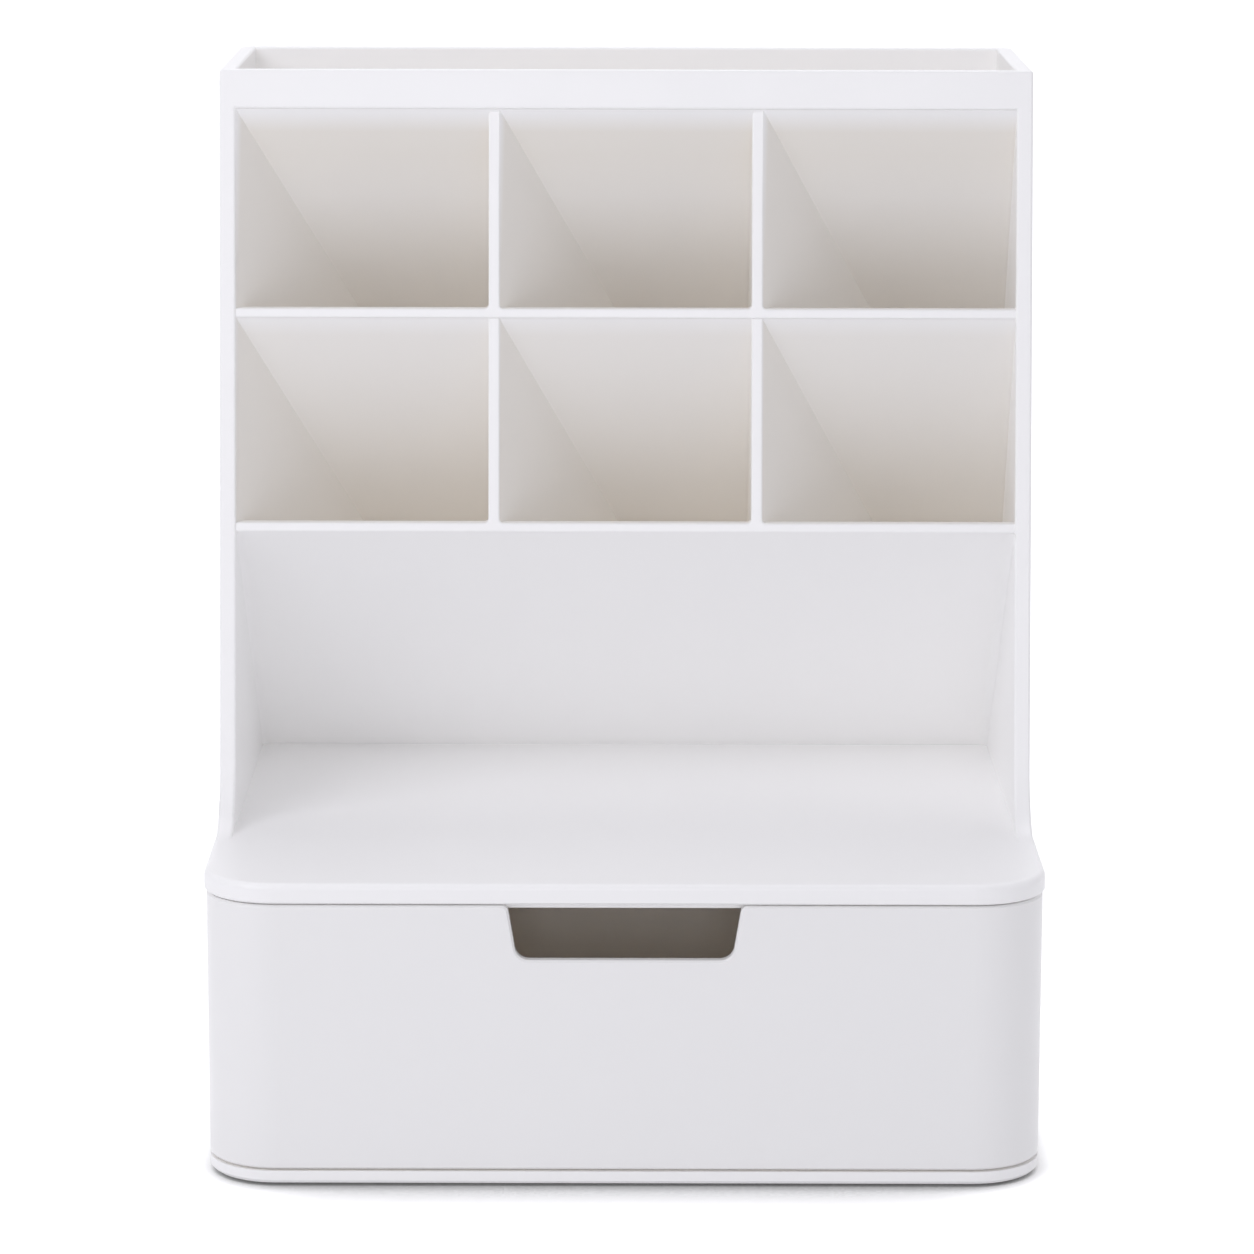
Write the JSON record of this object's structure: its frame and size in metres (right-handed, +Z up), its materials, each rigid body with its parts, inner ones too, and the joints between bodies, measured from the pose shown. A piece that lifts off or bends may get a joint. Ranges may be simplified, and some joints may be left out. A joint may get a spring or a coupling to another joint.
{
  "type": "desk organiser",
  "caption": "White moulded desk organiser with leaning rows of slanted pockets, an open top slot for envelopes, a deck bay and one full-width drawer with a finger notch.",
  "frame": {"origin": "centre of the overall box at the height of the surface it stands on", "axes": "+Z up, +X to the viewer's right when facing the drawer, the drawer opens toward -Y"},
  "size_m": [0.201, 0.158, 0.2582],
  "materials": {
    "shell_plastic": "satin",
    "cover_plastic": "fine matt texture",
    "pocket_plastic": "satin",
    "base_plastic": "satin",
    "drawer_front_plastic": "satin",
    "drawer_box_plastic": "satin inside",
    "foot_rubber": "matt",
    "screw_steel": "zinc plated"
  },
  "bodies": {
    "housing": {"outer_shell": "shell_plastic", "rear_cover": "cover_plastic", "upper_pocket_unit": "pocket_plastic", "lower_pocket_unit": "pocket_plastic", "base_housing": "base_plastic", "foot_front_left": "foot_rubber", "foot_front_right": "foot_rubber", "foot_rear_left": "foot_rubber", "foot_rear_right": "foot_rubber", "base_screw_front_left": "screw_steel", "base_screw_front_right": "screw_steel", "base_screw_rear_left": "screw_steel", "base_screw_rear_right": "screw_steel"},
    "drawer": {"drawer_front": "drawer_front_plastic", "drawer_box": "drawer_box_plastic"}
  },
  "joints": [
    {"name": "drawer_slide", "type": "slide", "parent": "housing", "child": "drawer", "axis": [0, -1, 0], "range_m": [0, 0.11]}
  ]
}
